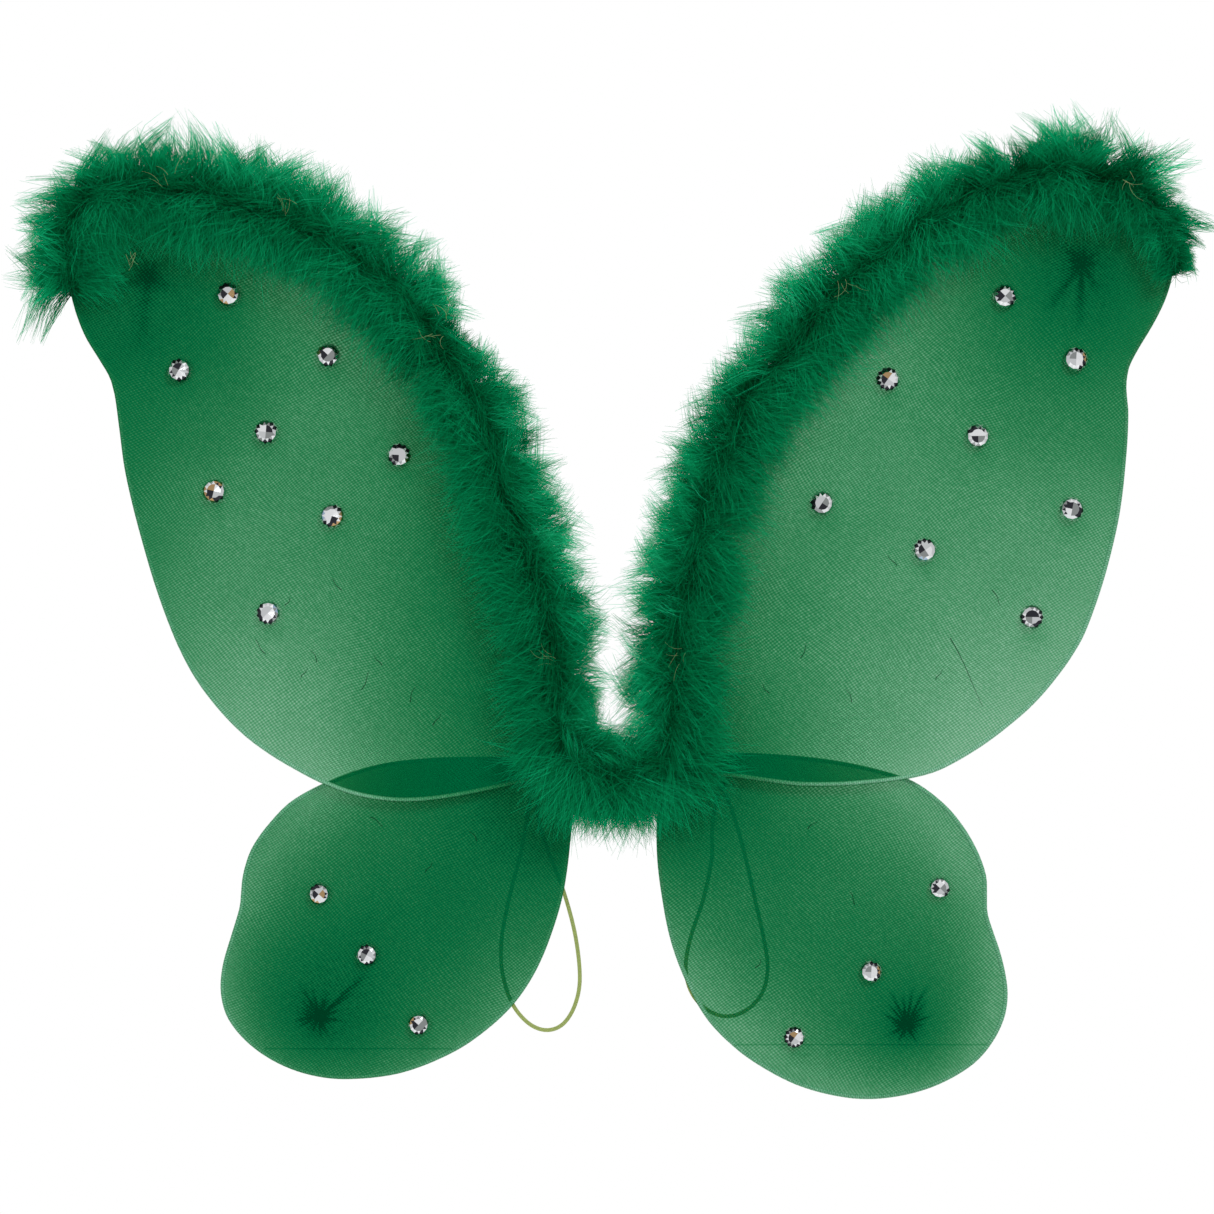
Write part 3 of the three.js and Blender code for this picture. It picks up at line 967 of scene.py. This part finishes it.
def directions(trim, tufts, owners, spread, rng):
    """For strands of the owners' tufts: where each starts, its heading, and the way along the trim."""
    count = len(owners)
    turn = tufts.angle[owners] + rng.normal(0, spread, count)
    spot = np.clip(tufts.at[owners] + rng.normal(0, 3.0, count), 0, len(trim.path) - 1)
    marks = np.arange(len(trim.path))
    base = read_along(trim.path, marks, spot) + tufts.stray[owners]
    out = read_along(trim.outwards, marks, spot)
    forward = read_along(trim.along, marks, spot)
    flat = out * np.cos(turn)[:, None] + FRONT * (0.62 * np.sin(turn))[:, None]
    slope = (tufts.slope[owners] + rng.normal(0, 0.22, count))[:, None]
    heading = flat + forward * slope
    return base, heading / sizes(heading)[:, None], forward


def bends(forward, sway, rng):
    """How far strands curve along the trim, by the given sway, and droop."""
    return forward * sway[:, None] - UP * rng.uniform(0.0, 0.14, len(sway))[:, None]


def curves(base, heading, bend, reach):
    """Lines from each base along its heading that curve more and more, as (count, points, 3)."""
    t = np.linspace(0, 1, STRAND_POINTS)[:, None]
    return base[:, None] + reach[:, None, None] * (heading[:, None] * t + bend[:, None] * t**2)


def grow_strands(trim, tufts, owner, rng):
    """Each strand's base and points: its own curve, pulled towards the middle line of its tuft."""
    total = len(owner)
    base, heading, forward = directions(trim, tufts, np.arange(tufts.count), 0.0, rng)
    bend = bends(forward, rng.normal(0, 0.32, tufts.count) * (1 + 0.4 * tufts.ragged), rng)
    guide = curves(base, heading, bend, tufts.reach)[owner]
    base, heading, forward = directions(trim, tufts, owner, 0.26, rng)
    bend = bends(forward, rng.normal(0, 0.30, total), rng)
    reach = tufts.reach[owner] * rng.uniform(0.68, 1.06, total)
    base = base + rng.normal(0, 1.0, (total, 3)) * np.array([1.0, 0.8, 1.0]) * MM
    own = curves(base, heading, bend, reach)

    t = np.linspace(0, 1, STRAND_POINTS)
    hold = (0.70 * tufts.outer + 0.20 * tufts.inner + 0.22 + 0.25 * tufts.ragged)[owner]
    pull = hold[:, None, None] * (t**1.3)[:, None]
    pull = np.clip(pull * rng.uniform(0.55, 1.15, total)[:, None, None], 0, 0.93)
    share = np.clip(reach / np.maximum(tufts.reach[owner], 1e-6), 0, 1)[:, None, None]
    shortened = guide[:, :1] + (guide - guide[:, :1]) * share
    points = own * (1 - pull) + shortened * pull
    phase = rng.uniform(0, 2 * math.pi, total)
    ripple = np.sin(phase[:, None] + t * rng.uniform(4, 9, total)[:, None]) * t * 0.035
    points += np.cross(heading, FRONT)[:, None] * (ripple * reach[:, None])[:, :, None]
    return base, points


def keep_clear(points, over_wing):
    """Hold the strands over a wing in front of its nylon, and all of them within the down's depth."""
    depth = points[:, :, 1]
    depth = np.where(over_wing, np.minimum(depth, UPPER_Y - 2.1 * MM), depth)
    points[:, :, 1] = np.clip(depth, -34 * MM, -3 * MM)


def painted_down_shading(trim, tufts, owner, points, out_by, rng):
    """How light each strand is along its length, in painted light and shade: painted shade darkest over the
    core, near each strand's base and where thread pinches it, lighter towards the lit and backlit tips, with
    some tone at random.
    """
    t = np.linspace(0, 1, STRAND_POINTS)
    clear_of_wing = out_by >= 1 * MM
    for end, way in ((0, -1), (len(trim.path) - 1, 1)):
        beyond = ((points - trim.path[end]) @ trim.along[end]) * way
        near_end = np.abs(tufts.at[owner] - end) < 25
        out_by = np.where(near_end[:, None] & clear_of_wing, np.maximum(out_by, beyond), out_by)
    light = np.interp(out_by / MM, [-30, -8, 0, 10, 28], [0.56, 0.48, 0.33, 0.58, 0.84])
    paler = np.where(tufts.centre[owner], 0.15, 0)[:, None] * t
    light = light - 0.4 * tufts.pinch[owner][:, None] + paler
    light = light * np.interp(t, [0, 0.25, 0.8], [0.45, 0.75, 1.0])[None]
    uneven = 0.4 + 0.6 * tufts.outer[owner]
    chance = rng.normal(0, 0.12, tufts.count)[owner] + rng.normal(0, 0.08, len(owner))
    return light + (uneven * chance)[:, None]


def outwards_at(trim, places):
    """The way out from the wing at each place by the core."""
    index = np.array([np.abs(trim.path[::4] - place).sum(axis=1).argmin() for place in places]) * 4
    return trim.outwards[index]


def grow_down(line, count, rng):
    """Strands as (count, points, 3), their widths, how light they are in painted light and shade, and where
    on the line they grow.
    """
    trim = plan_trim(line)
    tufts = place_tufts(trim, count // TUFT, rng)
    turn_tufts(tufts, rng)
    pinch_tufts(trim, tufts, rng)
    stretch_tufts(trim, tufts, rng)
    scatter_tufts(trim, tufts, rng)
    owner = np.repeat(np.arange(tufts.count), TUFT)
    base, points = grow_strands(trim, tufts, owner, rng)
    out_by = ((points - base[:, None]) * outwards_at(trim, base)[:, None]).sum(axis=2)
    keep_clear(points, out_by < 1 * MM)
    taper = np.interp(np.linspace(0, 1, STRAND_POINTS), [0, 0.6, 1], [0.27, 0.25, 0.07])
    widths = taper[None] * rng.uniform(0.7, 1.3, len(owner))[:, None] * MM
    light = painted_down_shading(trim, tufts, owner, points, out_by, rng)
    return points, widths, light, tufts.at[owner]


def ribbon_piece(name, points, widths, light, rng):
    """Strands as flat ribbons turned at random about their length, darker slots first; the slots are shaded,
    lit and backlit copies of one down.
    """
    count, steps, _ = points.shape
    along = np.gradient(points, axis=1)
    along /= sizes(along)[:, :, None] + 1e-12
    side = np.cross(along, FRONT)
    side /= sizes(side)[:, :, None] + 1e-9
    twist = rng.normal(0, 0.7, count)[:, None, None]
    side = side * np.cos(twist) + np.cross(along, side) * np.sin(twist)
    half = side * widths[:, :, None] / 2
    vertices = np.stack([points - half, points + half], axis=2).reshape(-1, 3)
    first = (np.arange(count) * steps * 2)[:, None] + np.arange(steps - 1) * 2
    faces = side_by_side(first, first + 1, first + 3, first + 2).reshape(-1, 4)
    shade = (light[:, :-1] + light[:, 1:]) / 2
    slots = np.clip((shade * len(DOWN)).astype(int), 0, len(DOWN) - 1).reshape(-1)
    return piece(name, vertices, faces, DOWN, slots)


# Where the strip of marabou is parted: each piece's name and the x it ends at
CUTS = {
    "left_tip": -0.150, "left_side": -0.052, "left_inner": -0.0285,
    "left_root": -CENTRE_X, "centre": CENTRE_X, "right_root": 0.0275,
    "right_inner": 0.052, "right_side": 0.150, "right_tip": 1.0,
}


def make_marabou(line):
    """The whole strip of marabou, parted into pieces at the wings' bends and to keep each one small."""
    rng = np.random.default_rng(SEED)
    count = 110000
    points, widths, light, at = grow_down(line, count, rng)
    root_x = np.interp(at, np.arange(len(line)), line[:, 0])
    low = -1.0
    for name, high in CUTS.items():
        mine = (root_x >= low) & (root_x < high)
        low = high
        down = ribbon_piece(name + "_down", points[mine], widths[mine], light[mine], rng)
        place_down(down, name)


# Where bare quills show in the down, as (x, z) in metres
QUILLS = {
    "left": [
        (-0.240, 0.262), (-0.224, 0.300), (-0.164, 0.282), (-0.090, 0.222), (-0.086, 0.234), (-0.030, 0.062),
    ],
    "right": [(0.030, 0.064), (0.114, 0.248), (0.252, 0.300)],
}


def make_quills(side):
    """Short bare quills, in a loose fan at each of a few places."""
    rng = np.random.default_rng(SEED + len(side))
    quills = []
    for x, z in QUILLS[side]:
        fan = rng.uniform(0, 2 * math.pi)
        for _ in range(5):
            angle = rng.normal(fan, 0.5)
            length = rng.uniform(5, 11) * MM
            curl = rng.normal(0, 0.5)
            t = np.linspace(0, 1, 8)
            turn = angle + curl * t
            start = np.array([x, 0, z]) + rng.normal(0, 2.5 * MM, 3) * (1, 0, 1)
            line = start + side_by_side(np.cos(turn), 0, np.sin(turn)) * (length * t)[:, None]
            line[:, 1] = CORE_Y - (8.5 + 2.5 * t) * MM
            radius = 0.10 * MM * (1 - 0.6 * t)
            quills.append(tube(f"{side}_quill_{len(quills)}", line, radius, QUILL, sides=5))
    made = joined(side + "_quills", quills)
    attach(made, side + "_upper")


def place_down(down, name):
    """A piece of down on its body, or, at a wing's root, left on no body with its transform applied."""
    side = name.split("_")[0]
    if name == "centre":
        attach(down, "centre")
        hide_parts("centre_marabou")
        return
    if name.endswith("root"):
        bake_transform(down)
        return
    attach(down, side + "_upper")
    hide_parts(side + "_marabou")


# ---------------------------------------------------------------- centre and loops


def make_centre():
    """The cloth tape wound round the wires' ends."""
    low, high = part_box("centre_binding")
    centre = np.array((low + high) / 2)
    half = np.array((high - low) / 2)
    sides = 40
    angles = np.linspace(0, 2 * math.pi, sides, endpoint=False)
    rows = []
    for u in np.linspace(-1, 1, 61):
        lap = np.mod(2.6 * (u + 1) - angles / (2 * math.pi), 1.0)
        swell = (0.93 + 0.07 * lap) * (1 - 0.12 * u**6)
        ring = side_by_side(u, swell * np.cos(angles), swell * np.sin(angles))
        rows.append(centre + ring * half)
    tip_radius = 0.05
    for tip in (-1, 1):
        ring = side_by_side(tip * 0.97, tip_radius * np.cos(angles), tip_radius * np.sin(angles))
        rows.insert(0 if tip < 0 else len(rows), centre + ring * half)
    binding = piece("binding_tape", np.vstack(rows), grid_faces(len(rows), sides, True), [TAPE])
    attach(binding, "centre")
    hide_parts("centre_binding")


def patch_outline(low, high, inset):
    """The patch's rounded outline as (x, z), drawn in by an inset, between two corners of its box."""
    half_x = (high.x - low.x) / 2
    half_z = (high.z - low.z) / 2
    mid_z = (high.z + low.z) / 2
    corner = 5 * MM
    points = []
    for way_x, way_z, start in ((1, 1, 0), (-1, 1, 90), (-1, -1, 180), (1, -1, 270)):
        for angle in np.radians(np.linspace(start, start + 90, 18)):
            x = way_x * (half_x - corner) + (corner - inset) * math.cos(angle)
            z = way_z * (half_z - corner) + (corner - inset) * math.sin(angle)
            points.append((x, mid_z + z))
    return np.array(points)


def make_patch():
    """The felt patch with soft edges."""
    low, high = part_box("back_patch")
    depth = high.y - low.y
    # Each row as how far it is drawn in, in millimetres, and the share of the depth it lies forwards by
    profile = ((4.9, 0.0), (0.6, 0.0), (0.15, 0.2), (0.0, 0.5), (0.15, 0.8), (0.6, 1.0), (4.9, 1.0))
    rows = [
        in_plane(patch_outline(low, high, inset * MM), high.y - forwards * depth)
        for inset, forwards in profile
    ]
    count = len(rows[0])
    faces = [tuple(f) for f in grid_faces(len(rows), count, True)]
    faces += [tuple(range(count))[::-1], tuple((len(rows) - 1) * count + i for i in range(count))]
    felt = piece("patch_felt", np.vstack(rows), faces, [FELT])
    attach(felt, "centre")
    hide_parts("back_patch")
    sew_patch(low, high)


def sew_patch(low, high):
    """A running stitch round the patch, on the wearer's side."""
    seam = spaced(patch_outline(low, high, 2.2 * MM), 2.4 * MM, closed=True)
    t = np.linspace(0, 1, 7)
    stitches = []
    for i in range(0, len(seam) - 1, 2):
        flat = seam[i] + (seam[i + 1] - seam[i]) * t[:, None]
        line = in_plane(flat, high.y - 0.25 * MM + 0.2 * MM * np.sin(math.pi * t))
        stitches.append(tube(f"stitch_{i}", line, 0.25 * MM, THREAD, sides=6))
    sewn = joined("patch_stitches", stitches)
    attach(sewn, "centre")


def make_tails():
    """The wires' ends, bent out of the tape to each wing's root."""
    for name in WINGS:
        side = name.split("_")[0]
        sign = -1 if side == "left" else 1
        y = UPPER_Y if "upper" in name else LOWER_Y
        z = middle(name + "_root_tie")[2]
        tails = []
        for rise in (-2.2, 2.2):
            line = [
                (sign * 10 * MM, y * 0.6 - 2.8 * MM, 3 * MM + rise * 0.6 * MM),
                (sign * 14 * MM, y * 0.8 - 1.4 * MM, 3 * MM + rise * 0.8 * MM),
                (sign * 19 * MM, y, z + rise * MM),
                (sign * 23.5 * MM, y, z + rise * MM),
            ]
            tails.append(tube(f"{name}_tail_{rise}", spaced(line, 0.8 * MM), 0.95 * MM, STEEL, sides=8))
        pair = joined(name + "_tails", tails)
        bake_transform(pair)


def make_loops():
    """The shoulder loops, each a limp elastic tied in a knot on the lower wing's back."""
    for side, route in ELASTIC_ROUTES.items():
        body = side + "_loop"
        line = spaced(in_plane(np.array(route) * MM, LOOP_Y), 1.0 * MM)
        elastic = tube(side + "_elastic", line, ELASTIC_DIAMETER / 2, ELASTIC, sides=12)
        knot = make_loop_knot(side)
        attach(elastic, body)
        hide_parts(side + "_loop_elastic")
        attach(knot, body)
        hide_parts(side + "_loop_knot")


def make_loop_knot(side):
    """An overhand knot of the elastic, as a tight trefoil."""
    centre = middle(side + "_loop_knot")
    t = np.linspace(0, 2 * math.pi, 120, endpoint=False)
    x = np.sin(t) + 2 * np.sin(2 * t)
    z = np.cos(t) - 2 * np.cos(2 * t)
    y = -1.1 * np.sin(3 * t)
    line = centre + side_by_side(x, y, z) * 0.68 * MM
    return tube(side + "_knot", line, 1.05 * MM, ELASTIC, sides=10, closed=True)


def finish_cords():
    """The marabou's cord stays as the CAD has it, in thread."""
    for name in ("left_marabou_cord", "right_marabou_cord", "centre_marabou_cord"):
        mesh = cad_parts[name].data
        mesh.materials.clear()
        mesh.materials.append(THREAD)


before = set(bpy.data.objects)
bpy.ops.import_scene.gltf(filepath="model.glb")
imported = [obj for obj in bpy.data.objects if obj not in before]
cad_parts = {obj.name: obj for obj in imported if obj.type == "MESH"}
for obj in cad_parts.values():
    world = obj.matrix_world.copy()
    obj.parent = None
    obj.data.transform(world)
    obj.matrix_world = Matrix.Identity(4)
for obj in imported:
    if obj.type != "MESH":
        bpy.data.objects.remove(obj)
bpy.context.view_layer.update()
make_camera()
make_studio()

NYLON = nylon_material()
WIRE = wound_material("wound_wire", (0.40, 0.58, 0.50), (0.76, 0.94, 0.88), 1.1 * MM, 0.4)
STEEL = plain_material("bare_wire", (0.25, 0.31, 0.28), 0.4, 0.7)
THREAD = plain_material("dark_thread", (0.001, 0.040, 0.014), 0.8, shine=0.1)
ELASTIC = elastic_material()
QUILL = plain_material("pale_quill", (0.20, 0.30, 0.12), 0.5)
FELT = felt_material()
TAPE = tape_material()
# Painted light and shade: one green down in shaded, lit and backlit copies, each strand piece taking the
# copy its painted lightness picks
DOWN = [
    down_material("down_1_deepest_shade", (0.0, 0.090, 0.027)),
    down_material("down_2_shade", (0.0, 0.160, 0.052)),
    down_material("down_3_mid", (0.001, 0.255, 0.092)),
    down_material("down_4_lit", (0.003, 0.370, 0.145)),
    down_material("down_5_brightly_lit", (0.008, 0.500, 0.215)),
    down_material("down_6_backlit_wisp", (0.030, 0.640, 0.320)),
]
# The stones' silver foil, then facet tones that are painted reflections: white for lamps, grey between, dark
# for a dark room, amber and blue for coloured flashes
STONE = [
    plain_material("foil_silver", (0.80, 0.82, 0.84), 0.06, 1.0),
    plain_material("painted_white_reflection", (0.95, 0.96, 0.98), 0.18, 0.85),
    plain_material("painted_grey_reflection", (0.36, 0.38, 0.38), 0.08, 1.0),
    plain_material("painted_dark_reflection", (0.035, 0.035, 0.045), 0.05, 0.9),
    plain_material("painted_amber_reflection", (0.55, 0.36, 0.18), 0.08, 1.0),
    plain_material("painted_blue_reflection", (0.45, 0.58, 0.75), 0.08, 1.0),
]

edges = {name: make_wing(name) for name in WINGS}
for wing_name in WINGS:
    make_stones(wing_name)
make_marabou(trim_line(edges["left_upper"], edges["right_upper"]))
for quill_side in QUILLS:
    make_quills(quill_side)
make_centre()
make_patch()
make_tails()
make_loops()
finish_cords()
